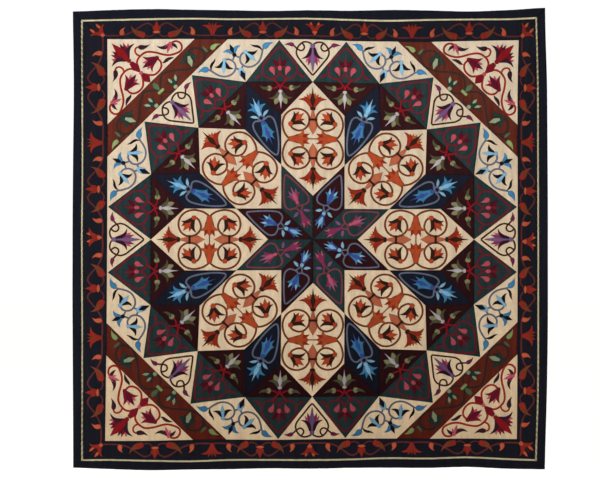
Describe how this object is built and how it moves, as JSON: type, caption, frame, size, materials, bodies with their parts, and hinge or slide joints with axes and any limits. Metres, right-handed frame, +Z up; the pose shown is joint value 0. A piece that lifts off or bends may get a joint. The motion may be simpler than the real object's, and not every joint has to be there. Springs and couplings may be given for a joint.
{
  "type": "applique wall hanging",
  "caption": "Square cotton wall hanging with an eight-pointed star of applied patches, lotus and scroll motifs, and dark borders with flat piping.",
  "frame": {"origin": "middle of the cloth's top edge, half way through its ground cloth", "axes": "+Z up the hung cloth, +X across it to the right as seen from the front, -Y out of its decorated face"},
  "size_m": [2.0065, 0.0128, 1.9509],
  "materials": {
    "cream_ground_cloth": "matt plain-weave cotton",
    "green_cotton": "matt plain-weave cotton",
    "maroon_cotton": "matt plain-weave cotton",
    "navy_cotton": "matt plain-weave cotton",
    "rust_cotton": "matt plain-weave cotton",
    "black_navy_cotton": "matt plain-weave cotton",
    "cream_piping": "matt plain-weave cotton"
  },
  "bodies": {
    "root": {"green_e_left": "green_cotton", "green_e_right": "green_cotton", "green_n_left": "green_cotton", "green_n_right": "green_cotton", "green_ne_left": "green_cotton", "green_ne_right": "green_cotton", "green_nw_left": "green_cotton", "green_nw_right": "green_cotton", "green_s_left": "green_cotton", "green_s_right": "green_cotton", "green_se_left": "green_cotton", "green_se_right": "green_cotton", "green_sw_left": "green_cotton", "green_sw_right": "green_cotton", "green_w_left": "green_cotton", "green_w_right": "green_cotton", "ground_cloth": "cream_ground_cloth", "inner_border_foot": "black_navy_cotton", "inner_border_left": "black_navy_cotton", "inner_border_right": "black_navy_cotton", "inner_border_top": "black_navy_cotton", "maroon_arrow_1": "maroon_cotton", "maroon_arrow_2": "maroon_cotton", "maroon_arrow_3": "maroon_cotton", "maroon_arrow_4": "maroon_cotton", "maroon_arrow_5": "maroon_cotton", "maroon_arrow_6": "maroon_cotton", "maroon_arrow_7": "maroon_cotton", "maroon_arrow_8": "maroon_cotton", "navy_kite_1": "navy_cotton", "navy_kite_2": "navy_cotton", "navy_kite_3": "navy_cotton", "navy_kite_4": "navy_cotton", "navy_kite_5": "navy_cotton", "navy_kite_6": "navy_cotton", "navy_kite_7": "navy_cotton", "navy_kite_8": "navy_cotton", "outer_border_foot": "black_navy_cotton", "outer_border_left": "black_navy_cotton", "outer_border_right": "black_navy_cotton", "outer_border_top": "black_navy_cotton", "piping_foot": "cream_piping", "piping_left": "cream_piping", "piping_right": "cream_piping", "piping_top": "cream_piping", "rust_band_ne": "rust_cotton", "rust_band_nw": "rust_cotton", "rust_band_se": "rust_cotton", "rust_band_sw": "rust_cotton", "star_rhombus_1": "maroon_cotton", "star_rhombus_2": "green_cotton", "star_rhombus_3": "maroon_cotton", "star_rhombus_4": "green_cotton", "star_rhombus_5": "maroon_cotton", "star_rhombus_6": "green_cotton", "star_rhombus_7": "maroon_cotton", "star_rhombus_8": "green_cotton"}
  },
  "joints": []
}
